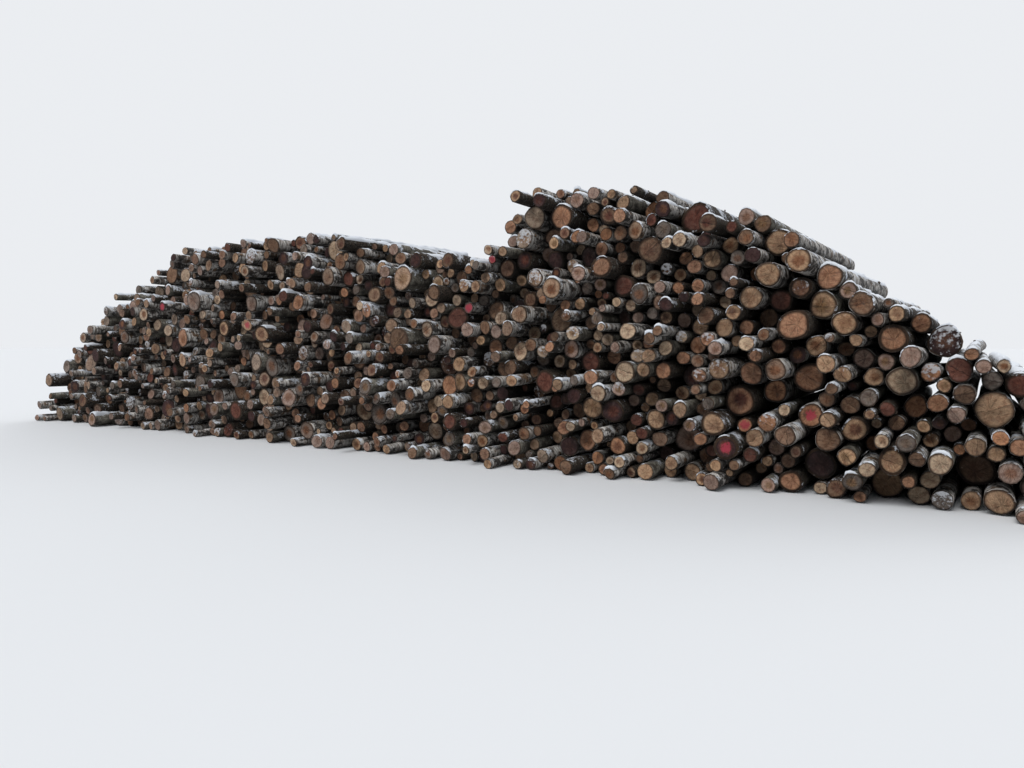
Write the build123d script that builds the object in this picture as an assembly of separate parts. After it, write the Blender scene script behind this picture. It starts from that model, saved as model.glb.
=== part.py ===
"""A long stack of round logs, as a forester piles them beside a track: every log is a solid of its own.

The logs are laid one by one, as the loader does. The ground row lies side by side, and each later log
goes to the lowest place of the pile that is still under its outline, where it settles into the hollow
between the logs below. A log is a straight, tapered prism with few sides. Its section fills a circle, and
it has a corner wherever it touches another log.

Millimetres, +X along the stack, +Y into the pile, +Z up, front ends towards -Y. The origin is on the
ground, in the middle of the stack.
"""

import math
import os
import random

import numpy as np
from build123d import *

# The stack's outline, seen from the front: distance from the left end, and height there.
OUTLINE = [
    (0, 900),
    (1800, 2050),
    (3300, 2580),
    (4200, 3050),
    (7100, 3150),
    (8150, 3040),
    (9600, 2680),
    (10450, 2600),
    (10900, 3350),
    (12100, 3380),
    (13300, 3050),
    (14050, 2830),
    (14750, 2240),
    (15800, 1550),
    (17200, 500),
]

# Logs that stand out: distance from the left end, height of the middle, diameter and kind.
LANDMARKS = [
    (8750, 2690, 250, "aspen"),
    (10930, 2580, 230, "alder"),
    (11010, 2870, 250, "birch"),
    (11470, 2670, 240, "alder"),
    (11540, 3080, 310, "alder"),
    (11980, 2250, 240, "alder"),
    (12170, 2820, 240, "alder"),
    (12200, 2500, 250, "alder"),
    (12460, 2350, 250, "birch"),
    (13110, 2940, 350, "alder"),
    (13900, 1150, 270, "birch"),
    (14100, 2680, 310, "alder"),
    (14350, 2480, 225, "alder"),
    (14390, 160, 320, "alder"),
    (14410, 1750, 350, "alder"),
    (14700, 710, 270, "birch"),
    (14790, 1670, 250, "birch"),
    (15090, 540, 290, "alder"),
    (15290, 1660, 305, "alder"),
    (15640, 1250, 260, "birch"),
    (15760, 480, 370, "alder"),
    (15910, 1040, 330, "aspen"),
    (16090, 1300, 255, "alder"),
]
LANDMARK_REACH = 130  # a log laid this near a landmark's place takes its size and kind

LOG_LENGTH = 3000
LARGEST_SKEW = 90  # how far a log's back end may lie to the side of its front end
LARGEST_RISE = 60  # how far it may lie above or below the front end
TAPER = 15  # loss of radius from one end of a log to the other
CLEARANCE = 0.5  # left between two logs that touch

# A log's length is divided into steps, where its distance to the others is kept.
STEPS = 60
UNEVEN_STEPS = 8  # steps by which its ends may stand in front of or behind the others

THIN_LOGS = (118, 200)
MIDDLE_LOGS = (200, 285)
THICK_LOGS = (285, 370)
THICK_SHARE = 0.035
MIDDLE_SHARE = 0.16
KINDS = {"birch": 0.58, "alder": 0.27, "aspen": 0.15}

SEARCH_WIDTH = 200  # a log looks so far to each side of the spot where it is let go
SEARCH_STEP = 20
SKEW_TRIES = 5  # directions tried for a log before it is let go
SPOT_STEP = 50  # spacing of the spots where logs are let go
CLOSING_STEP = 40  # a spot where no log fits counts as so much higher
OVER_OUTLINE = 60  # how far the top of a log may pass the outline
LEVEL_NOISE = 120  # logs are let go at the lowest spot, give or take this much

BAYS = 12  # the stack is filed in so many bays along its length
TOUCHING = 0.3  # two logs count as touching where they are this near beyond the clearance
WIDEST_SIDE = {"thin": 120, "thick": 72}  # degrees of the round that one flat side may span

random.seed(9)
STACK_LENGTH = OUTLINE[-1][0]
HALF_STEPS = STEPS // 2 + UNEVEN_STEPS
PLACES = np.arange(-HALF_STEPS, HALF_STEPS + 1) / STEPS  # places in the depth, as shares of a log's length


def outline_height(x):
    """Height that the pile reaches at a distance along it."""
    distances, heights = zip(*OUTLINE)
    return np.interp(x, distances, heights)


class Log:
    """A log's size and kind, where in the depth it starts and ends, and its circles in between."""

    def __init__(self):
        draw = random.random()
        if draw < THICK_SHARE:
            diameter = random.uniform(*THICK_LOGS)
        elif draw < THICK_SHARE + MIDDLE_SHARE:
            diameter = random.uniform(*MIDDLE_LOGS)
        else:
            diameter = random.uniform(*THIN_LOGS)
        self.kind = random.choices(list(KINDS), KINDS.values())[0]
        self.skew = random.uniform(-LARGEST_SKEW, LARGEST_SKEW)
        self.first = round(random.triangular(0, 2 * UNEVEN_STEPS))
        self.span = slice(self.first, self.first + STEPS + 1)
        self.places = PLACES[self.span]
        self.middle = self.places.mean()
        self.thick_end = random.choice((1, -1))
        self.set_diameter(diameter)

    def set_diameter(self, diameter):
        self.thick = diameter > MIDDLE_LOGS[0]
        self.radii = diameter / 2 - self.thick_end * TAPER * (self.places - self.middle)

    def across(self, x):
        """The log's distances along the stack, for one or many distances of its middle."""
        return np.asarray(x)[..., None] + self.skew * (self.places - self.middle)

    def place(self, x, z, rise):
        self.x = x
        self.z = z
        self.xs = self.across(x)
        self.zs = z + rise * (self.places - self.middle)


class Pile:
    """The logs laid so far, with their circles in arrays, one row for each log."""

    def __init__(self, most):
        self.logs = []
        shape = (most, len(PLACES))
        self.xs = np.zeros(shape)
        self.zs = np.full(shape, -np.inf)
        self.radii = np.zeros(shape)
        self.centres = np.zeros((most, 2))
        self.spots = np.arange(SPOT_STEP, STACK_LENGTH, SPOT_STEP)
        self.tops = np.zeros((3, len(self.spots)))

    def add(self, log):
        row = len(self.logs)
        self.xs[row, log.span] = log.xs
        self.zs[row, log.span] = log.zs
        self.radii[row, log.span] = log.radii
        self.centres[row] = (log.x, log.z)
        self.logs.append(log)
        for row, at in enumerate((UNEVEN_STEPS, STEPS // 2, -UNEVEN_STEPS)):
            inside = np.clip(log.radii[at] ** 2 - (self.spots - log.xs[at]) ** 2, 0, None)
            top = np.where(inside > 0, log.zs[at] + np.sqrt(inside), 0)
            self.tops[row] = np.maximum(self.tops[row], top)

    def rows_near(self, x, z):
        """Rows of the logs that one near this place could touch, or has to pass on its way down."""
        reach = SEARCH_WIDTH + THICK_LOGS[1] + 2 * LARGEST_SKEW
        centres = self.centres[: len(self.logs)]
        beside = np.abs(centres[:, 0] - x) < reach
        not_below = centres[:, 1] > z - reach
        return np.nonzero(beside & not_below)[0]

    def resting_lines(self, log, xs, rows):
        """Height of the log's middle, and its rise, where it rests if dropped at each of the distances.

        At each place it has to clear the circles below it and the ground. Its axis then lies on two of
        those places, one in front of its middle and one behind, as any beam on uneven supports, unless
        that slopes too much: then the loader has levelled it.
        """
        across = log.across(xs)[:, None, :] - self.xs[rows, log.span]
        reach = log.radii + self.radii[rows, log.span] + CLEARANCE
        drop = np.sqrt(np.clip(reach**2 - across**2, 0, None))
        lift = np.where(drop > 0, self.zs[rows, log.span] + drop, -np.inf)
        needed = np.maximum(lift.max(axis=1, initial=-np.inf), log.radii)
        half = STEPS // 2
        before = (log.middle - log.places[:half])[:, None]
        behind = (log.places[half:] - log.middle)[None, :]
        front = needed[:, :half, None]
        back = needed[:, None, half:]
        heights = (front * behind + back * before) / (before + behind)
        pick = heights.reshape(len(xs), -1).argmax(axis=1)
        at_front, at_back = np.unravel_index(pick, heights.shape[1:])
        each = np.arange(len(xs))
        span = log.places[half + at_back] - log.places[at_front]
        rises = (needed[each, half + at_back] - needed[each, at_front]) / span
        rises = np.clip(rises, -LARGEST_RISE, LARGEST_RISE)
        return (needed - rises[:, None] * (log.places - log.middle)).max(axis=1), rises


def lay_ground_row(pile):
    """The logs on the ground, each against the one before."""
    while True:
        log = Log()
        x = log.radii.mean()
        if pile.logs:
            last = pile.logs[-1]
            start = max(log.first, last.first)
            stop = min(log.first, last.first) + STEPS + 1
            own = slice(start - log.first, stop - log.first)
            other = slice(start - last.first, stop - last.first)
            radii, last_radii = log.radii[own], last.radii[other]
            gap = np.sqrt((radii + last_radii + CLEARANCE) ** 2 - (radii - last_radii) ** 2)
            x = (last.xs[other] + gap - log.across(0)[own]).max()
        if x + log.radii.mean() > STACK_LENGTH:
            return
        log.place(x, log.radii.mean(), -log.thick_end * TAPER)
        pile.add(log)


def settle(pile, log, x, low):
    """Moves the log to the lowest hollow near x, or returns False where there is none."""
    rows = pile.rows_near(x, low)
    half = log.radii.mean()
    xs = np.arange(x - SEARCH_WIDTH, x + SEARCH_WIDTH + 1, SEARCH_STEP)
    xs = xs[(xs > half) & (xs < STACK_LENGTH - half)]
    if len(xs) < 3:
        return False
    seats = []
    for skew in np.linspace(-1, 1, SKEW_TRIES) * LARGEST_SKEW + random.uniform(-0.4, 0.4) * LARGEST_SKEW:
        log.skew = skew
        heights = pile.resting_lines(log, xs, rows)[0]
        inner = heights[1:-1]
        hollows = np.nonzero((inner <= heights[:-2]) & (inner <= heights[2:]))[0] + 1
        seats += [(heights[hollow], xs[hollow], skew) for hollow in hollows]
    if not seats:
        return False
    _, best, log.skew = min(seats)
    for step in (SEARCH_STEP / 10, SEARCH_STEP / 100):
        xs = best + np.arange(-11, 12) * step
        heights = pile.resting_lines(log, xs, rows)[0]
        best = xs[heights.argmin()]
    height, rise = pile.resting_lines(log, np.array([best]), rows)
    log.place(best, height[0], rise[0])
    return True


def landmark_for(x, reached, landmarks):
    """The landmark that the pile is now high enough for at x, or None."""
    for landmark in landmarks:
        distance, height, diameter, _ = landmark
        if abs(x - distance) < LANDMARK_REACH and reached > height - diameter / 2 - LANDMARK_REACH:
            return landmark
    return None


def pile_up():
    """Lays all the logs and returns the pile."""
    pile = Pile(3000)
    lay_ground_row(pile)
    landmarks = list(LANDMARKS)
    room = outline_height(pile.spots)
    penalty = np.zeros(len(pile.spots))
    while True:
        reached = pile.tops.max(axis=0) + penalty
        if (reached >= room).all():
            return pile
        noise = np.array([random.uniform(0, LEVEL_NOISE) for _ in pile.spots])
        spot = np.where(reached < room, reached + noise, np.inf).argmin()
        x = pile.spots[spot]
        log = Log()
        landmark = landmark_for(x, reached[spot], landmarks)
        if landmark:
            log.set_diameter(landmark[2])
            log.kind = landmark[3]
        around = np.abs(pile.spots - x) < SEARCH_WIDTH + THICK_LOGS[1]
        found = settle(pile, log, x, pile.tops[:, around].min())
        if found and log.z + log.radii.mean() < outline_height(log.x) + OVER_OUTLINE:
            pile.add(log)
            if landmark:
                landmarks.remove(landmark)
        else:
            penalty[spot] += CLOSING_STEP


def find_contacts(pile):
    """Gives each log the directions in which it touches, seen from the front, in degrees."""
    for log in pile.logs:
        log.contacts = []
        if abs(log.zs[0] - log.radii[0]) < TOUCHING:
            log.contacts.append(-90.0)
    for row, log in enumerate(pile.logs):
        rows = pile.rows_near(log.x, log.z)
        rows = rows[rows < row]
        if not len(rows):
            continue
        across = pile.xs[rows, log.span] - log.xs
        up = pile.zs[rows, log.span] - log.zs
        gaps = np.hypot(across, up) - pile.radii[rows, log.span] - log.radii
        nearest = gaps.argmin(axis=1)
        each = np.arange(len(rows))
        gaps = gaps[each, nearest]
        towards = np.degrees(np.arctan2(up[each, nearest], across[each, nearest]))
        for index in np.argsort(gaps)[:2]:
            if gaps[index] < CLEARANCE + TOUCHING:
                log.contacts.append(towards[index])
                pile.logs[rows[index]].contacts.append(towards[index] + 180)


def corner_directions(log):
    """Directions of the section's corners: the contacts, and more where they are far apart."""
    widest = WIDEST_SIDE["thick" if log.thick else "thin"]
    turns = sorted({round(turn % 360, 3) for turn in log.contacts} or {0.0})
    corners = []
    for index, turn in enumerate(turns):
        following = turns[(index + 1) % len(turns)]
        arc = (following - turn) % 360 or 360
        parts = math.ceil(arc / widest)
        corners += [turn + arc * part / parts for part in range(parts)]
    return corners


def log_solid(log):
    """The log: one ring of corners at each sawn end, with a flat side between each two."""
    turns = [math.radians(turn) for turn in corner_directions(log)]
    rings = []
    for end in (0, -1):
        x, place, z, radius = (float(line[end]) for line in (log.xs, log.places, log.zs, log.radii))
        y = place * LOG_LENGTH
        rings.append([Vector(x + radius * math.cos(t), y, z + radius * math.sin(t)) for t in turns])
    front, back = rings
    sides = [[front[i - 1], front[i], back[i], back[i - 1]] for i in range(len(front))]
    faces = [Face(Wire.make_polygon(ring, close=True)) for ring in [front, back, *sides]]
    return Solid(Shell(faces))


def main():
    pile = pile_up()
    find_contacts(pile)
    solids = [log_solid(log) for log in pile.logs]
    boxes = [solid.bounding_box() for solid in solids]
    middle = (min(box.min.X for box in boxes) + max(box.max.X for box in boxes)) / 2
    mid_depth = (min(box.min.Y for box in boxes) + max(box.max.Y for box in boxes)) / 2
    to_origin = Location((-middle, -mid_depth, 0))
    nodes = {}
    for log, solid in zip(pile.logs, solids):
        bay = min(int(log.x / STACK_LENGTH * BAYS), BAYS - 1) + 1
        nodes.setdefault(f"{log.kind}_logs_bay_{bay:02d}", []).append(solid.moved(to_origin))
    os.makedirs("parts", exist_ok=True)
    for name, members in nodes.items():
        export_step(Compound(children=members), f"parts/{name}.step")
    print(len(pile.logs), "logs in", len(nodes), "nodes")


main()
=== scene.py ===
"""A long stack of round logs beside a track, dusted with snow.

Every log of the frame is dressed where it lies: an uneven round of bark, two sawn ends of wood inside a
rim of bark, and the snow that lies on what the sky reaches. Metres throughout.
"""

import math

import bpy
import numpy as np
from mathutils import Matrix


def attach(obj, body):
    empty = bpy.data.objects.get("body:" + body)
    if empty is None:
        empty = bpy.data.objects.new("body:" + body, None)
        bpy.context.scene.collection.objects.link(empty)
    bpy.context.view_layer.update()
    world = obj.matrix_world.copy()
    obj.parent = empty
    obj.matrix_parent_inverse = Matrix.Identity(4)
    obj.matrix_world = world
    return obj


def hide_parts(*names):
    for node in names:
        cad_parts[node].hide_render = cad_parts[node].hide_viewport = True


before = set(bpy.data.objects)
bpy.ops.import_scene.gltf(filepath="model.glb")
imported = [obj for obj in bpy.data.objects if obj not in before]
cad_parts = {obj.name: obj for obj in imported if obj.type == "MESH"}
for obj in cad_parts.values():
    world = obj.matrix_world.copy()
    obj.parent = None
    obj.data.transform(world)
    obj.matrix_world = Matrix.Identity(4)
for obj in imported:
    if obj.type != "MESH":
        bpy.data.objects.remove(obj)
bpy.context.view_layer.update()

# The pile as it was laid. Each log of the frame is a few-sided solid inside its round, and its axis, its
# radii and its sawn ends are read from there, so that the dressed log lies exactly where that one does.


def corners_and_triangles(node):
    """The node's corners, each once, and its triangles as numbers of those corners."""
    mesh = node.data
    corners = np.empty(len(mesh.vertices) * 3)
    mesh.vertices.foreach_get("co", corners)
    loops = np.empty(len(mesh.loops), dtype=np.int64)
    mesh.loops.foreach_get("vertex_index", loops)
    corners, numbers = np.unique(corners.reshape(-1, 3).round(5), axis=0, return_inverse=True)
    return corners, numbers.reshape(-1)[loops].reshape(-1, 3)


def circle_through(points):
    """Centre and radius of the circle nearest to the points in X and Z: x² + z² = 2ax + 2bz + c."""
    rows = np.column_stack([2 * points[:, 0], 2 * points[:, 2], np.ones(len(points))])
    (a, b, c), *_ = np.linalg.lstsq(rows, (points[:, [0, 2]] ** 2).sum(axis=1), rcond=None)
    return np.array([a, points[:, 1].mean(), b]), math.sqrt(c + a * a + b * b)


def logs_of(node):
    """Front centre, back centre, front radius and back radius of each log of a node, one row a log.

    Corners that share a triangle belong to one log: the lowest corner number spreads through the
    triangles until nothing changes. A log's corners of least and greatest depth are its two ends.
    """
    corners, triangles = corners_and_triangles(node)
    owner = np.arange(len(corners))
    while True:
        lowest = owner[triangles].min(axis=1)
        spread = owner.copy()
        np.minimum.at(spread, triangles.ravel(), np.repeat(lowest, 3))
        if (spread == owner).all():
            break
        owner = spread
    rows = []
    for first in np.unique(owner):
        corners_of_log = corners[owner == first]
        depths = corners_of_log[:, 1]
        halfway = (depths.min() + depths.max()) / 2
        front, front_radius = circle_through(corners_of_log[depths < halfway])
        back, back_radius = circle_through(corners_of_log[depths > halfway])
        rows.append([*front, *back, front_radius, back_radius])
    return np.array(rows)


pile = {name: logs_of(node) for name, node in sorted(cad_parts.items())}
all_logs = np.concatenate(list(pile.values()))

# Looks at the sky: along the pile, out of it and up, and how much each one counts.
SKY_LOOKS = [
    ((0.0, 0.0, 1.0), 0.4),
    ((0.0, 0.7, 1.0), 0.2),
    ((-0.55, 0.3, 1.0), 0.2),
    ((0.55, 0.3, 1.0), 0.2),
]
SKY_REACH = 2.0  # logs further along the pile than this hide nothing
LEAST_AHEAD = 0.02  # a log hides the sky only where its axis is further ahead than this
POINTS_AT_ONCE = 4000


def open_sky(points):
    """Share of the sky that each point sees past the logs, from 0 to 1.

    In each look, a log hides the sky where the line of sight passes its axis nearer than its radius,
    seen from the front, and meets it between its two ends. A look leans out of the pile by its second
    number: forwards before the pile's middle, and backwards behind it.
    """
    reach = np.ptp(points[:, 0]) / 2 + SKY_REACH
    logs = all_logs[np.abs(all_logs[:, 0] - points[:, 0].mean()) < reach]
    seen = np.zeros(len(points))
    for start in range(0, len(points), POINTS_AT_ONCE):
        part = slice(start, start + POINTS_AT_ONCE)
        x, y, z = (points[part, axis][:, None] for axis in range(3))
        share = (y - logs[:, 1]) / (logs[:, 4] - logs[:, 1])
        across = logs[:, 0] + (logs[:, 3] - logs[:, 0]) * share - x
        above = logs[:, 2] + (logs[:, 5] - logs[:, 2]) * share - z
        radius = logs[:, 6] + (logs[:, 7] - logs[:, 6]) * share
        for (dx, out, dz), weight in SKY_LOOKS:
            length = math.hypot(dx, dz)
            ahead = (across * dx + above * dz) / length
            aside = np.abs(across * dz - above * dx) / length
            depth = y + np.sign(y) * out * ahead / length
            in_line = (ahead > LEAST_AHEAD) & (aside < radius)
            hidden = in_line & (depth > logs[:, 1]) & (depth < logs[:, 4])
            seen[part] += weight * ~hidden.any(axis=1)
    return seen


# Birch logs, more than half of the pile: white bark with dark dashes across it and black cracks, ochre
# wood. They were felled, cut to one length with a chain saw and laid with the bark on.

ALONG = np.array([0.0, 0.33, 0.67, 1.0])  # rings of a log, as shares of its length
CORNERS = {"thin": 12, "thick": 18}  # corners of a ring
THICK = 0.11  # radius from which a log counts as thick
LOBES = ((2, 0.070), (3, 0.048), (4, 0.032), (5, 0.022))  # waves of the section: how many and how deep
FULLNESS = 0.945  # mean radius of the bark, as a share of the solid's round
WIDEST = 1.08  # widest radius that a leaning cut allows for, as a share of the same
ON_THE_FLOOR = 0.001  # no point lies lower
BOW = 0.012  # how far a log's middle may lie off the straight
SAW_SLOPE = 0.10  # usual lean of a saw cut
STEEPEST_CUT = 0.26
BARK_CHIPS = 0.013  # how far the bark has broken back from the cut
BARK_AIR = 0.004  # distance from the bark at which its view of the sky is taken

# Colours that the wood takes as it dries, and how far single logs stray from them.
WOOD = {
    "ochre": (0.41, 0.253, 0.142),
    "pale": (0.52, 0.375, 0.245),
    "orange": (0.37, 0.180, 0.092),
    "brown": (0.20, 0.118, 0.072),
    "rosy": (0.35, 0.232, 0.178),
    "grey": (0.17, 0.138, 0.115),
    "red_brown": (0.13, 0.050, 0.034),
    "dark": (0.046, 0.021, 0.020),
}
BRIGHTNESS = (0.60, 1.25)
WEATHERED = np.array((0.225, 0.183, 0.160))  # what all of them turn to, the left of the pile first
AGE_AT_MIDDLE = 0.48  # share of that change at the middle of the pile
AGE_PER_METRE = 0.05
LEAST_AGE, MOST_AGE = 0.15, 0.85
NOTABLE_REACH = 0.13  # a notable colour goes to a log this near to its place

FROST = (0.10, 0.34)  # frost on a frosted end
USUAL_FROST = 0.04
FROST_CHANCE = 0.006  # chance that an end is frosted, times its radius: thin logs freeze first
SNOW_SHARE = (-0.50, 0.60)  # how much more or less snow one log holds than another

# Places along the pile and up it of the marks that the forester sprayed on ends.
SPRAYED = [
    (-4.38, 2.13), (-2.43, 1.79), (1.69, 2.08), (2.04, 2.52), (4.93, 0.46), (5.09, 0.71), (5.78, 1.0)
]


def distances_to(logs, x, z):
    """How far the front ends of the logs are from a place along the pile and up it."""
    return np.hypot(logs[:, 0] - x, logs[:, 2] - z)


sprayed_logs = [all_logs[distances_to(all_logs, x, z).argmin(), 0] for x, z in SPRAYED]
draw = np.random.default_rng(5)
snow_beds = {}  # for each bay, its logs and their characters, which the stubs and the snow need


def character(logs, bark, shares, notable):
    """What makes each log its own: the waves of its section, its bow, its cuts, its bark and its wood."""
    count = len(logs)
    names = draw.choice(np.array(list(shares), object), count, p=list(shares.values()))
    for x, z, name in notable:
        away = distances_to(logs, x, z)
        if away.min() < NOTABLE_REACH:
            names[away.argmin()] = name
    tint = np.array([WOOD[name] for name in names]) * draw.uniform(*BRIGHTNESS, (count, 1))
    age = np.clip(AGE_AT_MIDDLE - AGE_PER_METRE * logs[:, 0], LEAST_AGE, MOST_AGE)
    age = age * draw.uniform(0.2, 1.15, count)
    tint = tint + (WEATHERED - tint) * age[:, None] * (tint[:, :1] > WEATHERED[0])
    own = {
        "phase": draw.uniform(0, 2 * math.pi, (count, len(LOBES))),
        "depth": draw.uniform(0.1, 1.0, (count, len(LOBES))) ** 1.4,
        "twist": draw.uniform(-1.2, 1.2, count),
        "bow": draw.uniform(-BOW, BOW, (count, 2)),
        "cut": np.clip(draw.normal(0, SAW_SLOPE, (count, 2, 2)), -STEEPEST_CUT, STEEPEST_CUT),
        "bark": draw.uniform(*bark, count) * (1 + (logs[:, 6] > THICK)),
        "number": draw.uniform(0, 100, count),
        "tint": np.column_stack([tint, np.ones(count)]),
        "heart": draw.uniform(0, 1, count) ** 1.5,
    }
    frosted = draw.uniform(0, 1, count) < FROST_CHANCE / logs[:, 6]
    own["frost"] = np.where(frosted, draw.uniform(*FROST, count), USUAL_FROST)
    own["snow"] = draw.uniform(*SNOW_SHARE, count)
    own["paint"] = np.isin(logs[:, 0], sprayed_logs).astype(float)
    return own


def bark_surface(logs, own, along, angles, lift=0.0):
    """Points of the bark, in an array of log, place along, place around and X, Y, Z.

    Point = axis point + (radius · (fullness + sum of depth · cos(n · angle + phase + twist · along)) +
    lift) · (cos angle, 0, sin angle). The axis runs from end to end, plus bow · sin(π · along).
    """
    t = np.asarray(along)[None, :, None]
    angle = np.asarray(angles)[None, None, :]
    front, back = logs[:, None, None, 0:3], logs[:, None, None, 3:6]
    axis = front + (back - front) * t[..., None]
    bow = own["bow"][:, None, None, :] * np.sin(math.pi * t)[..., None]
    radius = logs[:, None, None, 6] + (logs[:, None, None, 7] - logs[:, None, None, 6]) * t
    wave = FULLNESS
    for index, (count, depth) in enumerate(LOBES):
        turn = own["phase"][:, index, None, None] + own["twist"][:, None, None] * t
        wave = wave + depth * own["depth"][:, index, None, None] * np.cos(count * angle + turn)
    reach = radius * wave + lift
    x = axis[..., 0] + bow[..., 0] + reach * np.cos(angle)
    z = np.maximum(axis[..., 2] + bow[..., 1] + reach * np.sin(angle), ON_THE_FLOOR)
    y = np.broadcast_to(axis[..., 1], x.shape)
    return np.stack([x, y, z], axis=-1)


def cut_depth(own, end, radius):
    """How far each log's leaning saw cut reaches into its length: steepest slope · widest radius."""
    return np.hypot(*own["cut"][:, end].T) * radius * WIDEST


def log_points(logs, own, around):
    """All the points of each log: its rings of bark, then for each end a ring of wood and its middle.

    A saw cut is a plane that leans by the slopes of the cut: depth = end's depth + slope · offset, held
    inside the log's length. The bark's own rim is broken back from that plane by a random bit.
    """
    angles = np.arange(around) * 2 * math.pi / around
    body = bark_surface(logs, own, ALONG, angles)
    parts = [body]
    for end, inwards in ((0, 1), (1, -1)):
        centre = logs[:, 3 * end : 3 * end + 3]
        slope = own["cut"][:, end]
        radius = logs[:, 6 + end]
        rim = body[:, -end]
        inside = 1 - (own["bark"] / radius)[:, None, None]
        wood = [centre[:, None, :] + (rim - centre[:, None, :]) * inside, centre[:, None, :].copy()]
        deepest = cut_depth(own, end, radius)
        for ring in (rim, *wood):
            lean = (ring[..., 0] - centre[:, None, 0]) * slope[:, None, 0]
            lean = lean + (ring[..., 2] - centre[:, None, 2]) * slope[:, None, 1]
            ring[..., 1] = centre[:, None, 1] + inwards * deepest[:, None] + lean
        rim[..., 1] += inwards * draw.uniform(0, BARK_CHIPS, rim.shape[:2])
        parts += wood
    return np.concatenate([part.reshape(len(logs), -1, 3) for part in parts], axis=1)


def log_faces(around):
    """Quads and triangles of one log, and which of the quads are its bark seen from the side.

    Quads join each ring to the next, and the bark's rim to the wood. A fan of triangles closes each end.
    """
    ring = np.arange(around)
    following = (ring + 1) % around
    joined = [((index + 1) * around, index * around) for index in range(len(ALONG) - 1)]
    front_wood = len(ALONG) * around
    back_wood = front_wood + around + 1
    joined += [(0, front_wood), (back_wood, front_wood - around)]
    quads = [
        np.column_stack([low + ring, low + following, high + following, high + ring])
        for low, high in joined
    ]
    front_middle, back_middle = (np.full(around, wood + around) for wood in (front_wood, back_wood))
    fans = [
        np.column_stack([front_middle, front_wood + ring, front_wood + following]),
        np.column_stack([back_middle, back_wood + following, back_wood + ring]),
    ]
    from_the_side = np.repeat(np.arange(len(joined)) < len(ALONG) - 1, around)
    return np.concatenate(quads), np.concatenate(fans), from_the_side


def mesh_of(name, points, quads, triangles, slots, smooth):
    """A mesh of these points, with the quads first and the triangles after them."""
    mesh = bpy.data.meshes.new(name)
    mesh.vertices.add(len(points))
    mesh.vertices.foreach_set("co", points.ravel())
    corners = np.concatenate([quads.ravel(), triangles.ravel()])
    mesh.loops.add(len(corners))
    mesh.loops.foreach_set("vertex_index", corners)
    starts = np.concatenate([np.arange(len(quads)) * 4, len(quads) * 4 + np.arange(len(triangles)) * 3])
    mesh.polygons.add(len(starts))
    mesh.polygons.foreach_set("loop_start", starts)
    mesh.polygons.foreach_set("material_index", slots.astype(np.int32))
    mesh.polygons.foreach_set("use_smooth", smooth)
    mesh.update(calc_edges=True)
    mesh.validate()
    return mesh


def write(mesh, name, kind, values):
    """Stores one value for each point of the mesh."""
    field = {"FLOAT": "value", "FLOAT_VECTOR": "vector", "FLOAT_COLOR": "color"}[kind]
    attribute = mesh.attributes.new(name, kind, "POINT")
    attribute.data.foreach_set(field, np.ascontiguousarray(values, dtype=np.float32).ravel())


def dressed(logs, own, around):
    """Points, quads, triangles, smooth quads and the values at the points, for logs with rings alike."""
    points = log_points(logs, own, around)
    each = points.shape[1]
    quads, fans, smooth = log_faces(around)
    base = np.arange(len(logs))[:, None, None] * each
    front, back = logs[:, None, 0:3], logs[:, None, 3:6]
    share = (points[..., 1] - logs[:, None, 1]) / (logs[:, None, 4] - logs[:, None, 1])
    place = points - (front + (back - front) * share[..., None])
    place[..., 1] = points[..., 1] - logs[:, None, 1]
    outwards = place * (1, 0, 1)
    outwards = outwards / (np.linalg.norm(outwards, axis=-1, keepdims=True) + 1e-6)
    # The rim's value is 2 on the bark, 1 where the wood begins and 0 at the wood's middle.
    rim = np.repeat([2, 1, 0, 1, 0], [len(ALONG) * around, around, 1, around, 1])
    values = {
        "place": ("FLOAT_VECTOR", place),
        "rim": ("FLOAT", np.tile(rim, len(logs))),
        "radius": ("FLOAT", logs[:, None, 6] + (logs[:, None, 7] - logs[:, None, 6]) * share),
        "sky": ("FLOAT", open_sky((points + BARK_AIR * outwards).reshape(-1, 3))),
        "tint": ("FLOAT_COLOR", np.repeat(own["tint"], each, axis=0)),
    }
    for name in ("number", "heart", "frost", "paint"):
        values[name] = ("FLOAT", np.repeat(own[name], each))
    faces = (quads + base).reshape(-1, 4), (fans + base).reshape(-1, 3)
    return points.reshape(-1, 3), *faces, np.tile(smooth, len(logs)), values


def dress(kind, bark, wood, thickness, shares, notable):
    """Gives each node of this kind its logs: one piece for a node, in the node's place."""
    for name, logs in pile.items():
        if not name.startswith(kind):
            continue
        thick = logs[:, 6] > THICK
        groups, count = [], 0
        for chosen, around in ((~thick, CORNERS["thin"]), (thick, CORNERS["thick"])):
            if not chosen.any():
                continue
            own = character(logs[chosen], thickness, shares, notable)
            points, quads, fans, smooth, values = dressed(logs[chosen], own, around)
            groups.append((points, quads + count, fans + count, smooth, values))
            count += len(points)
            snow_beds.setdefault(name[-len("bay_01") :], []).append((logs[chosen], own))
        parts = ([group[part] for group in groups] for part in range(4))
        points, quads, fans, smooth = (np.concatenate(part) for part in parts)
        slots = np.concatenate([np.zeros(len(quads)), np.ones(len(fans))])
        smooth = np.concatenate([smooth, np.zeros(len(fans), bool)])
        mesh = mesh_of(name, points, quads, fans, slots, smooth)
        mesh.materials.append(bark)
        mesh.materials.append(wood)
        for value, (sort, _) in groups[0][4].items():
            write(mesh, value, sort, np.concatenate([np.ravel(group[4][value][1]) for group in groups]))
        piece = bpy.data.objects.new("dressed_" + name, mesh)
        bpy.context.scene.collection.objects.link(piece)
        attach(piece, "root")
        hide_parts(name)


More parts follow.
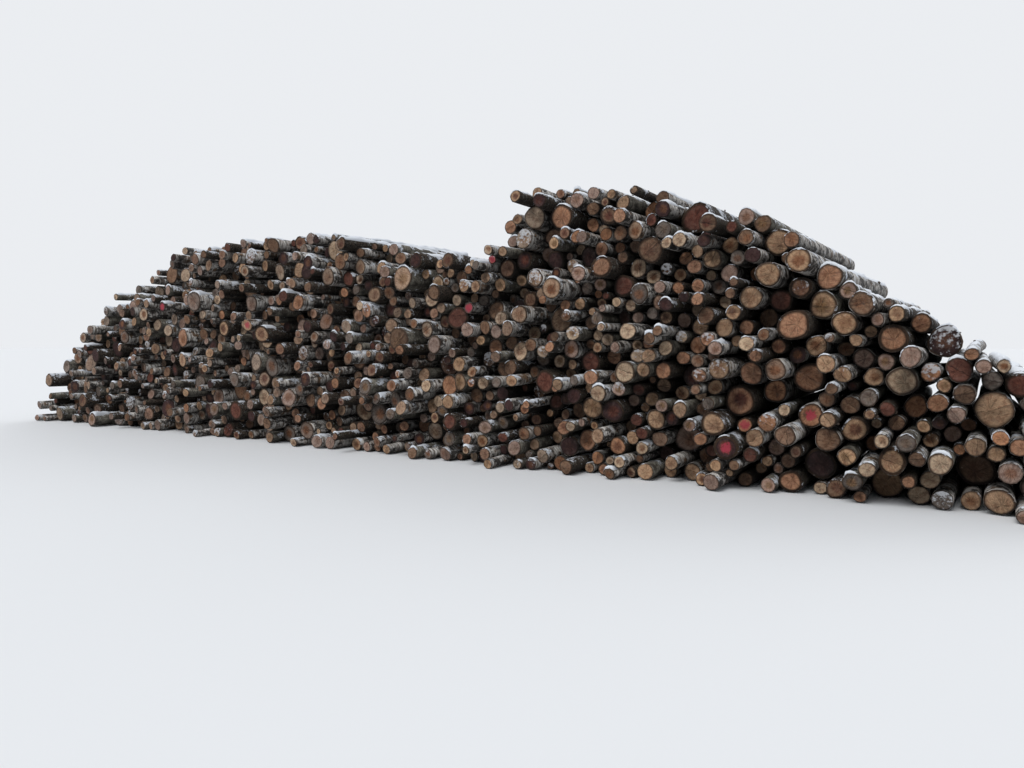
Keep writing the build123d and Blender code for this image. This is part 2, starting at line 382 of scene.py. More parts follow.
def put(tree, kind, inputs=None, **settings):
    """Adds a shader node, sets its properties, and gives its inputs a value or a link each."""
    node = tree.nodes.new(kind)
    for name, value in settings.items():
        setattr(node, name, value)
    for key, value in (inputs or {}).items():
        if isinstance(value, bpy.types.NodeSocket):
            tree.links.new(value, node.inputs[key])
        else:
            node.inputs[key].default_value = value
    return node


def sums(tree, operation, *values):
    """The result of one Math node."""
    return put(tree, "ShaderNodeMath", dict(enumerate(values)), operation=operation).outputs[0]


def plus(tree, first, second):
    return sums(tree, "ADD", first, second)


def minus(tree, first, second):
    return sums(tree, "SUBTRACT", first, second)


def times(tree, first, second):
    return sums(tree, "MULTIPLY", first, second)


def line(tree, start, slope, value):
    """Start + slope · value."""
    return plus(tree, start, times(tree, value, slope))


def centred(tree, value):
    """A noise's value moved down by a half, so that it wanders about zero."""
    return minus(tree, value, 0.5)


def vectors(tree, operation, *values):
    """The result of one Vector Math node, which is a number for LENGTH."""
    node = put(tree, "ShaderNodeVectorMath", dict(enumerate(values)), operation=operation)
    return node.outputs["Value" if operation == "LENGTH" else "Vector"]


def scaled(tree, vector, factor):
    """A vector or colour times a number."""
    values = {0: vector, "Scale": factor}
    return put(tree, "ShaderNodeVectorMath", values, operation="SCALE").outputs["Vector"]


def noise(tree, vector, scale, detail=2.0, roughness=0.5):
    """The value of a noise texture."""
    values = {"Vector": vector, "Scale": scale, "Detail": detail, "Roughness": roughness}
    return put(tree, "ShaderNodeTexNoise", values).outputs["Fac"]


def step(tree, value, low, high):
    """A smooth step: 0 where the value is below low, 1 where it is above high."""
    values = {"Value": value, "From Min": low, "From Max": high}
    return put(tree, "ShaderNodeMapRange", values, interpolation_type="SMOOTHSTEP").outputs[0]


def mix(tree, share, under, over):
    """One colour laid over another, by a share."""
    return put(tree, "ShaderNodeMix", {0: share, 6: under, 7: over}, data_type="RGBA").outputs[2]


def split(tree, vector):
    """The three numbers of a vector, by their names."""
    return put(tree, "ShaderNodeSeparateXYZ", {0: vector}).outputs


def roughen(tree, shader, height, strength, distance):
    """Gives the shader a relief from a height."""
    values = {"Height": height, "Strength": strength, "Distance": distance}
    bump = put(tree, "ShaderNodeBump", values)
    tree.links.new(bump.outputs["Normal"], shader.inputs["Normal"])


def group(name, inputs, outputs):
    """A new node group with its input and output nodes. Inputs and outputs are names and socket types."""
    tree = bpy.data.node_groups.new(name, "ShaderNodeTree")
    for socket, kind in inputs.items():
        tree.interface.new_socket(socket, in_out="INPUT", socket_type=kind)
    for socket, kind in outputs.items():
        tree.interface.new_socket(socket, in_out="OUTPUT", socket_type=kind)
    return tree, tree.nodes.new("NodeGroupInput").outputs, tree.nodes.new("NodeGroupOutput").inputs


def material(name, roughness):
    """A new material, its tree, its shader, and the log's own values as the mesh holds them."""
    made = bpy.data.materials.new(name)
    made.use_nodes = True
    tree = made.node_tree
    shader = tree.nodes["Principled BSDF"]
    shader.inputs["Roughness"].default_value = roughness
    shader.inputs["Specular IOR Level"].default_value = 0.2
    read = {}
    for value in ("rim", "radius", "number", "heart", "frost", "paint", "sky"):
        read[value] = put(tree, "ShaderNodeAttribute", attribute_name=value).outputs["Fac"]
    read["tint"] = put(tree, "ShaderNodeAttribute", attribute_name="tint").outputs["Color"]
    read["place"] = put(tree, "ShaderNodeAttribute", attribute_name="place").outputs["Vector"]
    # The place moved by the log's number, so that no two logs have the same pattern.
    moved = scaled(tree, (1.7, 0.6, 2.3), read["number"])
    read["own place"] = vectors(tree, "ADD", read["place"], moved)
    return made, tree, shader, read


# The saw cut, as a group that the wood of all three kinds uses: growth rings round an off-centre pith, a
# darker heart, drying cracks, the marks of the chain, a torn step on some, grey patches and frost.
PITH_OFFSET = 0.6  # how far the pith may lie off the middle, as a share of the radius
RING_WAVES = 1100.0  # radians of the growth rings in a metre: a ring is nearly 6 mm wide
TORN_SHARE = 0.3  # share of the ends that tore before the saw was through
CHAIN = (150, 0, 7)  # waves of the chain's marks in a metre: close across them, long beside them
STAIN = (0.62, 0.50, 0.48)
STALE_WOOD = (0.075, 0.058, 0.048, 1)
FROST_WHITE = (0.55, 0.56, 0.58, 1)

cut, into, out_of = group(
    "sawn_wood",
    {
        "place": "NodeSocketVector",
        "own place": "NodeSocketVector",
        "rim": "NodeSocketFloat",
        "radius": "NodeSocketFloat",
        "number": "NodeSocketFloat",
        "tint": "NodeSocketColor",
        "heart": "NodeSocketFloat",
        "frost": "NodeSocketFloat",
        "sky": "NodeSocketFloat",
        "heart colour": "NodeSocketColor",
    },
    {"Color": "NodeSocketColor", "Height": "NodeSocketFloat"},
)
own_place, radius = into["own place"], into["radius"]
flat_place = vectors(cut, "MULTIPLY", into["place"], (1, 0, 1))
chance = put(cut, "ShaderNodeTexWhiteNoise", {"W": into["number"]}, noise_dimensions="1D").outputs

# Growth rings and heartwood, by the distance from the pith.
pith = vectors(cut, "SUBTRACT", chance["Color"], (0.5, 0.5, 0.5))
pith = scaled(cut, vectors(cut, "MULTIPLY", pith, (1, 0, 1)), times(cut, radius, PITH_OFFSET))
from_pith = scaled(cut, pith, minus(cut, 1.0, into["rim"]))
from_pith = vectors(cut, "SUBTRACT", flat_place, from_pith)
wobble = times(cut, centred(cut, noise(cut, own_place, 16.0)), 0.02)
distance = plus(cut, vectors(cut, "LENGTH", from_pith), wobble)
share_out = sums(cut, "DIVIDE", distance, radius)
years = times(cut, sums(cut, "SINE", times(cut, distance, RING_WAVES)), noise(cut, own_place, 30.0))
heartwood = times(cut, minus(cut, 1.0, step(cut, share_out, 0.3, 0.62)), into["heart"])

# Drying cracks run out from the pith, where a noise of the bearing alone crosses its middle value.
bearing = vectors(cut, "NORMALIZE", from_pith)
values = {"Vector": bearing, "W": into["number"], "Scale": 3.1, "Detail": 3.0}
rays = put(cut, "ShaderNodeTexNoise", values, noise_dimensions="4D").outputs["Fac"]
cracks = sums(cut, "ABSOLUTE", centred(cut, rays))
cracks = minus(cut, 1.0, step(cut, cracks, 0.008, 0.028))
cracks = times(cut, cracks, step(cut, share_out, 0.95, 0.15))

# The saw went through each end in its own direction. On some the last part tore off at a ledge.
values = {"Vector": flat_place, "Angle": into["number"]}
turned = put(cut, "ShaderNodeVectorRotate", values, rotation_type="Y_AXIS").outputs["Vector"]
chain_marks = vectors(cut, "ADD", vectors(cut, "MULTIPLY", turned, CHAIN), pith)
chain_marks = noise(cut, chain_marks, 1.0, 3.0)
level = sums(cut, "DIVIDE", split(cut, turned)["X"], radius)
level = minus(cut, level, minus(cut, chance["Value"], 0.1))
level = plus(cut, level, times(cut, centred(cut, noise(cut, own_place, 22.0, 4.0)), 0.5))
torn = sums(cut, "LESS_THAN", chance["Value"], TORN_SHARE)
ledge = times(cut, step(cut, level, -0.02, 0.02), torn)
edge = minus(cut, 1.0, step(cut, sums(cut, "ABSOLUTE", level), 0.01, 0.07))
edge = times(cut, edge, torn)

# The wood's colour, then its shade: mottled, ringed and marked by the chain, darker in the cracks, on the
# torn part and its edge and beside the bark, with painted shade where little sky is seen.
mottle = noise(cut, own_place, 17.0, 5.0, 0.65)
speckle = noise(cut, own_place, 95.0, 3.0, 0.6)
wood_colour = mix(cut, heartwood, into["tint"], into["heart colour"])
stained = times(cut, step(cut, noise(cut, own_place, 27.0, 4.0, 0.6), 0.46, 0.62), 0.7)
wood_colour = mix(cut, stained, wood_colour, vectors(cut, "MULTIPLY", wood_colour, STAIN))
shade = line(cut, 0.25, 1.45, mottle)
shade = line(cut, shade, 0.18, years)
ridged = line(cut, 0.5, 1.3, sums(cut, "FRACT", times(cut, chance["Value"], 7.0)))
shade = plus(cut, shade, times(cut, centred(cut, chain_marks), ridged))
shade = plus(cut, shade, centred(cut, speckle))
beside_bark = step(cut, into["rim"], 0.82, 1.0)
for mask, loss in ((cracks, 0.7), (ledge, 0.3), (edge, 0.55), (beside_bark, 0.6)):
    shade = times(cut, shade, minus(cut, 1.0, times(cut, mask, loss)))
# Painted shade: the wood is darker where it sees little sky.
shade = times(cut, shade, line(cut, 0.42, 0.58, step(cut, into["sky"], -0.05, 0.3)))
stale = times(cut, step(cut, mottle, 0.5, 0.7), 0.4)
wood_colour = mix(cut, stale, scaled(cut, wood_colour, shade), STALE_WOOD)

# Frost, more of it on the upper part of an end.
upper = times(cut, sums(cut, "DIVIDE", split(cut, into["place"])["Z"], radius), 0.12)
frosted = plus(cut, noise(cut, own_place, 26.0, 5.0, 0.65), plus(cut, into["frost"], upper))
frosted = times(cut, step(cut, frosted, 0.76, 0.92), 0.8)
cut.links.new(mix(cut, frosted, wood_colour, FROST_WHITE), out_of["Color"])
relief = minus(cut, times(cut, chain_marks, 0.6), times(cut, cracks, 1.5))
cut.links.new(minus(cut, relief, times(cut, ledge, 2.0)), out_of["Height"])

# Snow too thin to have a shape, as a group: it lies where the bark faces up and sees the sky.
DUSTING_WHITE = (0.70, 0.73, 0.78, 1)
dusting, into, out_of = group(
    "snow_dusting",
    {"Color": "NodeSocketColor", "sky": "NodeSocketFloat", "own place": "NodeSocketVector"},
    {"Color": "NodeSocketColor", "Snow": "NodeSocketFloat"},
)
own_place = into["own place"]
normal = put(dusting, "ShaderNodeNewGeometry").outputs["Normal"]
upwards = step(dusting, split(dusting, normal)["Z"], -0.5, 0.8)
lying = times(dusting, upwards, sums(dusting, "MINIMUM", times(dusting, into["sky"], 0.5), 0.27))
drifts = times(dusting, centred(dusting, noise(dusting, own_place, 6.0, 3.0)), 1.3)
patches = plus(dusting, noise(dusting, own_place, 34.0, 6.0, 0.75), drifts)
lying = step(dusting, plus(dusting, patches, lying), 0.77, 0.91)
dusting.links.new(mix(dusting, lying, into["Color"], DUSTING_WHITE), out_of["Color"])
dusting.links.new(lying, out_of["Snow"])

INNER_BARK = (0.01, 0.007, 0.005, 1), (0.10, 0.055, 0.032, 1)
SPRAY_RED = (0.40, 0.04, 0.07, 1)


def finish_bark(tree, shader, read, colour, height, depth):
    """Dusts the bark with snow, and gives the shader its colour and its relief.

    Painted shade: the bark is darker on a log's underside and where no sky reaches it.
    On the sawn edge of the bark, where the rim's value falls from 2 to 1, the brown inner bark shows.
    """
    inner = mix(tree, noise(tree, read["own place"], 90.0, 4.0), *INNER_BARK)
    colour = mix(tree, step(tree, read["rim"], 1.97, 1.7), colour, inner)
    normal = put(tree, "ShaderNodeNewGeometry").outputs["Normal"]
    # Painted shade: the bark is darker where its face turns down.
    painted_underside_shade = line(tree, 0.35, 0.65, step(tree, split(tree, normal)["Z"], -0.7, 0.5))
    # Painted shade: the bark is darker in the depth of the pile, where it sees little sky.
    painted_sky_shade = line(tree, 0.25, 0.75, step(tree, read["sky"], -0.05, 0.35))
    colour = scaled(tree, colour, times(tree, painted_underside_shade, painted_sky_shade))
    values = {"Color": colour, "sky": read["sky"], "own place": read["own place"]}
    dust = put(tree, "ShaderNodeGroup", values, node_tree=dusting).outputs
    tree.links.new(dust["Color"], shader.inputs["Base Color"])
    roughen(tree, shader, line(tree, height, 0.4, dust["Snow"]), 0.8, depth)


def wood_material(name, heart_colour):
    """The material of the sawn ends: the saw cut's group with this kind's heartwood, and any paint on it."""
    made, tree, shader, read = material(name, 0.75)
    values = {"heart colour": heart_colour}
    for socket in ("place", "own place", "rim", "radius", "number", "tint", "heart", "frost", "sky"):
        values[socket] = read[socket]
    sawn = put(tree, "ShaderNodeGroup", values, node_tree=cut).outputs
    blur = times(tree, noise(tree, read["own place"], 40.0, 5.0, 0.7), 0.12)
    sprayed = step(tree, plus(tree, vectors(tree, "LENGTH", read["place"]), blur), 0.125, 0.10)
    sprayed = times(tree, sprayed, times(tree, read["paint"], 0.75))
    tree.links.new(mix(tree, sprayed, sawn["Color"], SPRAY_RED), shader.inputs["Base Color"])
    roughen(tree, shader, sawn["Height"], 0.6, 0.004)
    return made


PAPER = (0.20, 0.165, 0.14, 1), (0.78, 0.75, 0.70, 1)  # where it is dull and where it is white
PEELED = (0.16, 0.10, 0.06, 1)
DASH = (0.035, 0.03, 0.026, 1)
SPLIT_BARK = (0.028, 0.023, 0.02, 1)

birch_bark, tree, shader, read = material("birch_bark", 0.7)
own_place = read["own place"]
dashes = noise(tree, vectors(tree, "MULTIPLY", own_place, (9, 110, 9)), 1.0, 2.0)
dashes = step(tree, dashes, 0.57, 0.63)
black = noise(tree, vectors(tree, "MULTIPLY", own_place, (1, 0.5, 1)), 11.0, 5.0, 0.65)
black = step(tree, black, 0.49, 0.56)
curls = noise(tree, vectors(tree, "MULTIPLY", own_place, (6, 30, 6)), 1.0, 4.0, 0.6)
birch = mix(tree, step(tree, curls, 0.35, 0.65), *PAPER)
birch = mix(tree, step(tree, noise(tree, own_place, 7.0, 4.0), 0.55, 0.66), birch, PEELED)
birch = mix(tree, times(tree, dashes, 0.85), birch, DASH)
birch = mix(tree, times(tree, black, 0.92), birch, SPLIT_BARK)
finish_bark(tree, shader, read, birch, minus(tree, curls, plus(tree, dashes, black)), 0.007)
birch_wood = wood_material("birch_wood", (0.20, 0.085, 0.04, 1))

BIRCH_RIND = (0.005, 0.010)  # thickness of the bark
BIRCH_ENDS = {  # share of each colour
    "ochre": 0.26,
    "pale": 0.14,
    "orange": 0.15,
    "brown": 0.17,
    "rosy": 0.15,
    "grey": 0.07,
    "dark": 0.06,
}
BIRCH_NOTABLE = [  # place along the pile, height and colour of logs that stand out
    (2.41, 2.87, "pale"),
    (3.86, 2.35, "pale"),
    (5.30, 1.15, "orange"),
    (6.10, 0.71, "ochre"),
    (6.19, 1.67, "ochre"),
    (7.04, 1.25, "red_brown"),
]
dress("birch", birch_bark, birch_wood, BIRCH_RIND, BIRCH_ENDS, BIRCH_NOTABLE)


# Alder logs: dark, rough bark in small plates, and wood that turns orange and red-brown after the cut.
# The thickest logs of the pile are alder, and they have lain longest: some ends are nearly black.

FURROW = (0.012, 0.009, 0.008, 1)
PLATE = (0.02, 0.015, 0.012, 1), (0.14, 0.105, 0.078, 1)
LICHEN, MOSS = (0.19, 0.19, 0.165, 1), (0.055, 0.065, 0.025, 1)

alder_bark, tree, shader, read = material("alder_bark", 0.85)
own_place = read["own place"]
values = {"Vector": vectors(tree, "MULTIPLY", own_place, (1, 0.4, 1)), "Scale": 55.0}
plates = put(tree, "ShaderNodeTexVoronoi", values, feature="DISTANCE_TO_EDGE")
plates = step(tree, plates.outputs["Distance"], 0.02, 0.16)
rough = noise(tree, own_place, 60.0, 5.0, 0.65)
alder = mix(tree, plates, FURROW, mix(tree, rough, *PLATE))
growing = times(tree, step(tree, noise(tree, own_place, 24.0, 5.0, 0.7), 0.54, 0.62), 0.6)
growth = mix(tree, step(tree, noise(tree, own_place, 3.0), 0.5, 0.6), LICHEN, MOSS)
alder = mix(tree, growing, alder, growth)
finish_bark(tree, shader, read, alder, plus(tree, times(tree, plates, 1.2), rough), 0.011)
alder_wood = wood_material("alder_wood", (0.11, 0.035, 0.022, 1))

ALDER_RIND = (0.009, 0.016)
ALDER_ENDS = {"orange": 0.26, "brown": 0.26, "red_brown": 0.16, "dark": 0.16, "ochre": 0.16}
ALDER_NOTABLE = [
    (2.33, 2.58, "dark"),
    (2.87, 2.67, "dark"),
    (2.94, 3.08, "orange"),
    (3.38, 2.25, "red_brown"),
    (3.57, 2.82, "brown"),
    (3.60, 2.50, "orange"),
    (4.51, 2.94, "red_brown"),
    (5.50, 2.68, "ochre"),
    (5.75, 2.48, "ochre"),
    (5.79, 0.16, "brown"),
    (5.81, 1.75, "dark"),
    (6.49, 0.54, "brown"),
    (6.69, 1.66, "orange"),
    (7.16, 0.48, "dark"),
    (7.49, 1.30, "ochre"),
]
dress("alder", alder_bark, alder_wood, ALDER_RIND, ALDER_ENDS, ALDER_NOTABLE)


# Aspen logs: smooth grey-green bark with dark warts, and pale yellow wood that greys soon. They were cut
# and laid with the others, and are the fewest.

SKIN = (0.05, 0.042, 0.033, 1), (0.27, 0.25, 0.205, 1)
GRAIN = (0.07, 0.06, 0.05, 1)
WART = (0.02, 0.018, 0.016, 1)

aspen_bark, tree, shader, read = material("aspen_bark", 0.75)
own_place = read["own place"]
values = {"Vector": vectors(tree, "MULTIPLY", own_place, (1, 1.6, 1)), "Scale": 34.0}
warts = step(tree, put(tree, "ShaderNodeTexVoronoi", values).outputs["Distance"], 0.34, 0.2)
skin = noise(tree, vectors(tree, "MULTIPLY", own_place, (1, 0.5, 1)), 12.0, 4.0, 0.6)
grain = noise(tree, vectors(tree, "MULTIPLY", own_place, (7, 40, 7)), 1.0, 5.0, 0.7)
aspen = mix(tree, step(tree, skin, 0.35, 0.65), *SKIN)
aspen = mix(tree, step(tree, grain, 0.5, 0.62), aspen, GRAIN)
aspen = mix(tree, times(tree, warts, 0.85), aspen, WART)
finish_bark(tree, shader, read, aspen, minus(tree, skin, plus(tree, grain, warts)), 0.008)
aspen_wood = wood_material("aspen_wood", (0.20, 0.11, 0.05, 1))

ASPEN_RIND = (0.006, 0.011)
ASPEN_ENDS = {"pale": 0.28, "ochre": 0.32, "grey": 0.18, "brown": 0.12, "rosy": 0.10}
ASPEN_NOTABLE = [(0.15, 2.69, "ochre"), (7.31, 1.04, "ochre")]
dress("aspen", aspen_bark, aspen_wood, ASPEN_RIND, ASPEN_ENDS, ASPEN_NOTABLE)


# Stubs of the branches, left a thumb long where they were cut off along the trunks. Each is a short
# tapered round of six sides with a sawn end, set into the bark.

STUBS_TRIED = 3  # for each log; only those that can be seen are made
STUB_RADIUS = (0.009, 0.021)
STUB_LENGTH = (0.006, 0.024)
STUB_LEAN = 0.012
STUB_SIDES = 6
STUB_ROOT = 0.006  # how far a stub's foot lies inside the bark
STUB_FLARE = 1.25  # radius at the foot and at the cut, as shares of the branch's
STUB_TAPER = 0.8
STUB_SKY = 0.15  # share of the sky that a stub sees from a little outside the bark, if it is made
STUB_AIR = 0.03
LOWEST_STUB = 0.06  # nearer to the floor, a stub could pass it
STUB_RIDGES = (0.012, 0.01, 0.008, 1), (0.15, 0.12, 0.10, 1)
STUB_FIBRES = (0.06, 0.03, 0.018, 1), (0.36, 0.22, 0.11, 1)


def mottled(tree, shader, scale, detail, roughness, colours):
    """Colours the shader by a noise on the object's coordinates, and returns that noise."""
    object_place = put(tree, "ShaderNodeTexCoord").outputs["Object"]
    mottling = noise(tree, object_place, scale, detail, roughness)
    tree.links.new(mix(tree, mottling, *colours), shader.inputs["Base Color"])
    return mottling


stub_bark, tree, shader, _ = material("stub_bark", 0.85)
roughen(tree, shader, mottled(tree, shader, 70.0, 4.0, 0.7, STUB_RIDGES), 0.8, 0.006)
stub_wood, tree, shader, _ = material("stub_wood", 0.75)
mottled(tree, shader, 120.0, 4.0, 0.7, STUB_FIBRES)


def visible_feet():
    """Where branches grew that can be seen, from left to right, and the directions that they grew in."""
    feet, outwards = [], []
    for bay, beds in sorted(snow_beds.items()):
        for logs, own in beds:
            for _ in range(STUBS_TRIED):
                angle = draw.uniform(0, 2 * math.pi)
                surface = bark_surface(logs, own, [draw.uniform(0.01, 0.99)], [angle])
                feet.append(surface[:, 0, 0])
                outwards.append(np.tile([math.cos(angle), 0.0, math.sin(angle)], (len(logs), 1)))
    feet, outwards = np.concatenate(feet), np.concatenate(outwards)
    order = np.argsort(feet[:, 0])
    feet, outwards = feet[order], outwards[order]
    stretches = np.array_split(feet + STUB_AIR * outwards, 24)
    seen = np.concatenate([open_sky(stretch) for stretch in stretches]) > STUB_SKY
    seen &= feet[:, 2] > LOWEST_STUB
    return feet[seen], outwards[seen]


def stub_points(feet, outwards, lean, size, length):
    """A stub for each foot: a ring in the bark, a smaller ring at the cut, and the middles of both.

    Ring point = foot + rise · outwards + radius · (cos a · u + sin a · v), where u lies along the log and
    v across it. The cut end also moves along the log by the lean.
    """
    turns = np.arange(STUB_SIDES) * 2 * math.pi / STUB_SIDES
    along = np.tile([0.0, 1.0, 0.0], (len(feet), 1))
    across = np.cross(outwards, along)
    circle = np.cos(turns)[None, :, None] * along[:, None] + np.sin(turns)[None, :, None] * across[:, None]
    foot = (feet - STUB_ROOT * outwards)[:, None]
    top = (feet + length[:, None] * outwards + lean[:, None] * along)[:, None]
    radius = size[:, None, None]
    rings = foot + STUB_FLARE * radius * circle, top + STUB_TAPER * radius * circle
    return np.concatenate([*rings, foot, top], axis=1)


def stub_faces():
    """The sides of one stub as quads, and its foot and its cut end as fans of triangles."""
    ring = np.arange(STUB_SIDES)
    following = (ring + 1) % STUB_SIDES
    foot, top = (np.full(STUB_SIDES, 2 * STUB_SIDES + end) for end in (0, 1))
    sides = np.column_stack([ring, following, following + STUB_SIDES, ring + STUB_SIDES])
    root = np.column_stack([ring, foot, following])
    tip = np.column_stack([ring + STUB_SIDES, following + STUB_SIDES, top])
    return sides, np.concatenate([root, tip])


feet, outwards = visible_feet()
lean = draw.uniform(-STUB_LEAN, STUB_LEAN, len(feet))
size = draw.uniform(*STUB_RADIUS, len(feet))
length = draw.uniform(*STUB_LENGTH, len(feet))
points = stub_points(feet, outwards, lean, size, length)
base = np.arange(len(feet))[:, None, None] * points.shape[1]
sides, ends = ((faces + base).reshape(-1, faces.shape[1]) for faces in stub_faces())
slots = np.repeat([0, 1], [len(sides), len(ends)])
mesh = mesh_of("branch_stubs", points.reshape(-1, 3), sides, ends, slots, slots == 0)
mesh.materials.append(stub_bark)
mesh.materials.append(stub_wood)
stubs = bpy.data.objects.new("branch_stubs", mesh)
bpy.context.scene.collection.objects.link(stubs)
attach(stubs, "root")


# Snow, as a thin cover on the upper side of the logs that stick out or lie on top. It fell on the
# finished pile, so it is thickest where a log sees most sky, and it is broken into patches.

SNOW_DEPTH = 0.030
SNOW_ROOT = 0.006  # how far the snow's underside lies inside the bark
SNOW_DIP = 0.003  # how far its surface dips into the bark where there is none
SIDE_DIP = 0.002  # and at its two long sides
SNOW_SET_BACK = 0.01  # distance of the snow from the saw cut
SNOW_AIR = 0.006  # distance above the bark at which its view of the sky is taken
CREST_AIR = 0.01  # and above a log's crest
LEAST_SKY = 0.45  # share of the sky that a log's crest sees somewhere, if snow lies on it at all
SKY_PART = 1.15  # what the sky and the patches add to the depth, as shares of the greatest depth
PATCH_PART = 0.8
SNOW_ALONG = np.concatenate(  # closer together near the two ends
    [np.linspace(0.0, 0.11, 7), np.linspace(0.14, 0.86, 22), np.linspace(0.89, 1.0, 7)]
)
SNOW_ANGLES = np.radians([146, 124, 102, 80, 58, 34])
SNOW_WHITE = (0.66, 0.70, 0.76, 1), (0.82, 0.84, 0.87, 1)

snow, tree, shader, _ = material("snow", 0.6)
roughen(tree, shader, mottled(tree, shader, 90.0, 4.0, 0.6, SNOW_WHITE), 0.5, 0.006)


def patchiness(points, number):
    """A value that wanders between -1 and 1 over the points: a sum of four sine waves of unlike lengths."""
    x, y, z = points[..., 0], points[..., 1], points[..., 2]
    waves = 0.36 * np.sin(4.7 * y + 3 * number) + 0.24 * np.sin(19 * x + 11.3 * y + number)
    waves = waves + 0.22 * np.sin(-27 * x + 20.9 * y + 2 * number)
    return waves + 0.18 * np.sin(38.3 * y + 31 * z + 5 * number)


def snow_points(logs, own):
    """Points on the bark lifted by the snow's depth there, the points of its underside, and that depth.

    Depth = most · (sky's part · sky² · sin(angle)^1.5 + patches' part · patchiness + the log's own
    share - 1), and where that is below zero the surface dips into the bark, so that each patch of snow
    ends on the log.
    """
    bare = bark_surface(logs, own, SNOW_ALONG, SNOW_ANGLES)
    sky = open_sky((bare + (0, 0, SNOW_AIR)).reshape(-1, 3)).reshape(bare.shape[:3])
    slope = np.sin(SNOW_ANGLES)[None, None, :] ** 1.5
    patches = patchiness(bare, own["number"][:, None, None])
    own_share = own["snow"][:, None, None] - 1.0
    depth = SNOW_DEPTH * (SKY_PART * sky**2 * slope + PATCH_PART * patches + own_share)
    depth[:, :, [0, -1]] = np.minimum(depth[:, :, [0, -1]], -SIDE_DIP)
    depth = np.clip(depth, -SNOW_DIP, SNOW_DEPTH)
    root = bark_surface(logs, own, SNOW_ALONG, SNOW_ANGLES, -SNOW_ROOT)
    lifted = bark_surface(logs, own, SNOW_ALONG, SNOW_ANGLES, depth)
    for end, inwards in ((0, 1), (-1, -1)):
        set_back = cut_depth(own, end, logs[:, 6]) + SNOW_SET_BACK
        for layer in (lifted, root):
            layer[:, end, :, 1] += inwards * set_back[:, None]
    return lifted, root, depth


def snowy_cells(deep):
    """The cells with a deep corner. Two that would touch at one corner alone are joined round it."""
    deep = deep.copy()
    for _ in range(3):
        wide = deep[:, 1:] | deep[:, :-1]
        lying = wide[:, :, 1:] | wide[:, :, :-1]
        a, b, c, d = lying[:, 1:, 1:], lying[:, :-1, :-1], lying[:, 1:, :-1], lying[:, :-1, 1:]
        deep[:, 1:-1, 1:-1] |= (a & b & ~c & ~d) | (c & d & ~a & ~b)
    return lying


def closed_cover(cells, count):
    """The cover's upper cells, the same cells turned over below them, and walls where no cell follows.

    An edge that only one cell has is on the border. Point n of the underside is point n + count.
    """
    edges = np.concatenate([cells[:, [side, (side + 1) % 4]] for side in range(4)])
    _, first, uses = np.unique(np.sort(edges, axis=1), axis=0, return_index=True, return_counts=True)
    border = edges[first[uses == 1]]
    walls = np.column_stack([border[:, 1], border[:, 0], border[:, 0] + count, border[:, 1] + count])
    return np.concatenate([cells, cells[:, ::-1] + count, walls])


rows, columns = len(SNOW_ALONG), len(SNOW_ANGLES)
corner = (np.arange(rows - 1)[:, None] * columns + np.arange(columns - 1)[None, :]).ravel()
cell = np.column_stack([corner, corner + 1, corner + columns + 1, corner + columns])
no_triangles = np.zeros((0, 3), dtype=np.int64)
for bay, beds in sorted(snow_beds.items()):
    layers = []
    for logs, own in beds:
        crest = bark_surface(logs, own, ALONG, [math.pi / 2], CREST_AIR)[:, :, 0]
        open_logs = open_sky(crest.reshape(-1, 3)).reshape(len(logs), -1).max(axis=1) > LEAST_SKY
        if open_logs.any():
            own = {name: values[open_logs] for name, values in own.items()}
            layers.append(snow_points(logs[open_logs], own))
    upper, root = (np.concatenate([layer[part].reshape(-1, 3) for layer in layers]) for part in (0, 1))
    lying = snowy_cells(np.concatenate([layer[2] for layer in layers]) > 0)
    cells = cell[None] + np.arange(len(lying))[:, None, None] * rows * columns
    cells = cells[lying.reshape(len(lying), -1)]
    used, numbers = np.unique(cells, return_inverse=True)
    faces = closed_cover(numbers.reshape(-1, 4), len(used))
    points = np.concatenate([upper[used], root[used]])
    slots, smooth = np.zeros(len(faces)), np.ones(len(faces), bool)
    mesh = mesh_of("snow_" + bay, points, faces, no_triangles, slots, smooth)
    mesh.materials.append(snow)
    cover = bpy.data.objects.new("snow_" + bay, mesh)
    bpy.context.scene.collection.objects.link(cover)
    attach(cover, "root")


# The stage: a plain pale floor, an even sky, a wide soft lamp from above the front and a weaker one from
# behind, and the camera at eye height before the right-hand end, looking along the pile.

FLOOR = 150.0  # half of its side
FLOOR_COLOUR = (0.80, 0.81, 0.82, 1)
floor_mesh = bpy.data.meshes.new("floor")
floor_corners = [(-FLOOR, -FLOOR, 0), (FLOOR, -FLOOR, 0), (FLOOR, FLOOR, 0), (-FLOOR, FLOOR, 0)]
floor_mesh.from_pydata(floor_corners, [], [(0, 1, 2, 3)])
floor = bpy.data.objects.new("floor", floor_mesh)
bpy.context.scene.collection.objects.link(floor)
pale = bpy.data.materials.new("pale_floor")
pale.use_nodes = True
pale.node_tree.nodes["Principled BSDF"].inputs["Base Color"].default_value = FLOOR_COLOUR
pale.node_tree.nodes["Principled BSDF"].inputs["Roughness"].default_value = 0.9
floor_mesh.materials.append(pale)

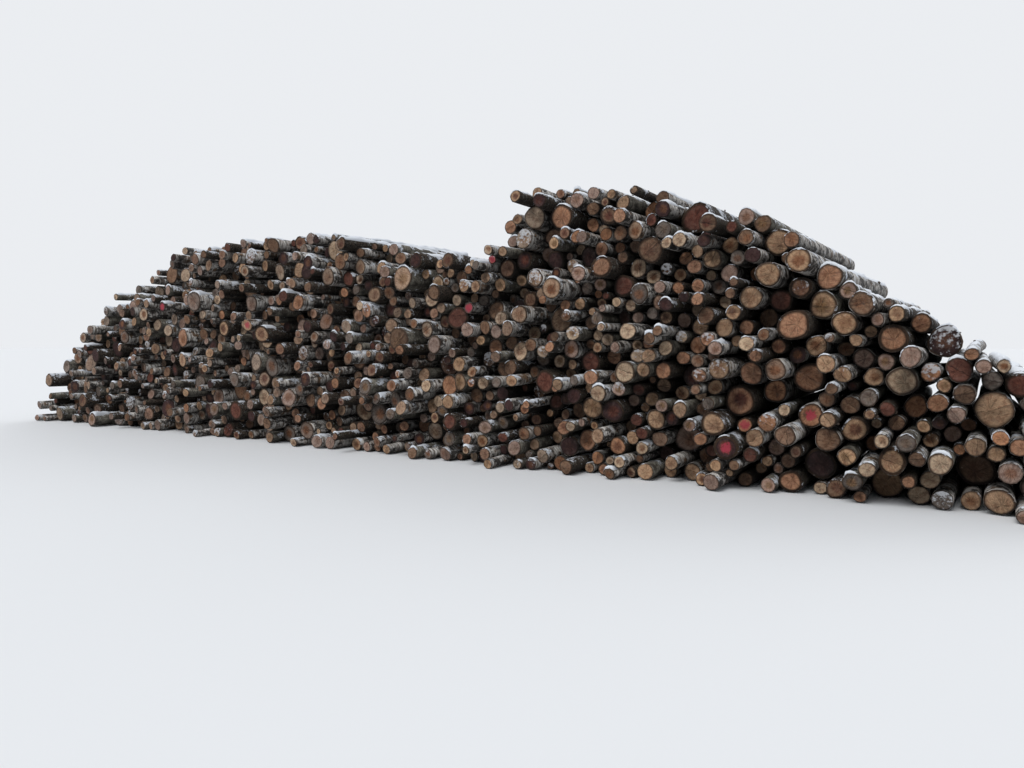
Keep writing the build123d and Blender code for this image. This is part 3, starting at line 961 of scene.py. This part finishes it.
SKY_COLOUR, SKY_STRENGTH = (0.90, 0.94, 1.0, 1), 0.55  # the light on the pile
BACKDROP = (0.83, 0.85, 0.88, 1)  # what the camera sees behind it
world = bpy.data.worlds.new("even_sky")
world.use_nodes = True
tree = world.node_tree
lighting = tree.nodes["Background"]
lighting.inputs["Color"].default_value = SKY_COLOUR
lighting.inputs["Strength"].default_value = SKY_STRENGTH
backdrop = put(tree, "ShaderNodeBackground", {"Color": BACKDROP, "Strength": 1.0})
path = put(tree, "ShaderNodeLightPath").outputs
shown = sums(tree, "MAXIMUM", path["Is Camera Ray"], path["Is Glossy Ray"])
shown = sums(tree, "MAXIMUM", shown, path["Is Transmission Ray"])
both = put(tree, "ShaderNodeMixShader", {0: shown, 1: lighting.outputs[0], 2: backdrop.outputs[0]})
tree.links.new(both.outputs[0], tree.nodes["World Output"].inputs["Surface"])
bpy.context.scene.world = world

LAMPS = (("front_lamp", 1.6, 38), ("back_lamp", 0.55, -50))  # name, strength and tilt in degrees
LAMP_WIDTH = 40  # degrees
LAMP_TURN = -12
for name, strength, tilt in LAMPS:
    lamp = bpy.data.lights.new(name, "SUN")
    lamp.energy = strength
    lamp.angle = math.radians(LAMP_WIDTH)
    lamp_object = bpy.data.objects.new(name, lamp)
    lamp_object.rotation_euler = (math.radians(tilt), 0, math.radians(LAMP_TURN))
    bpy.context.scene.collection.objects.link(lamp_object)

FOCAL_PIXELS = 769.0
PICTURE_WIDTH = 1024.0
EYE = (7.38, -9.7, 1.6)
LOOKING_DOWN = 3.3  # degrees
LOOKING_LEFT = 31.9
view = bpy.data.cameras.new("camera")
view.sensor_width = 36.0
view.lens = FOCAL_PIXELS / PICTURE_WIDTH * view.sensor_width
view.clip_end = 500
camera = bpy.data.objects.new("camera", view)
camera.location = EYE
camera.rotation_euler = (math.radians(90 - LOOKING_DOWN), 0, math.radians(LOOKING_LEFT))
bpy.context.scene.collection.objects.link(camera)
bpy.context.scene.camera = camera
bpy.context.scene.view_settings.view_transform = "Standard"
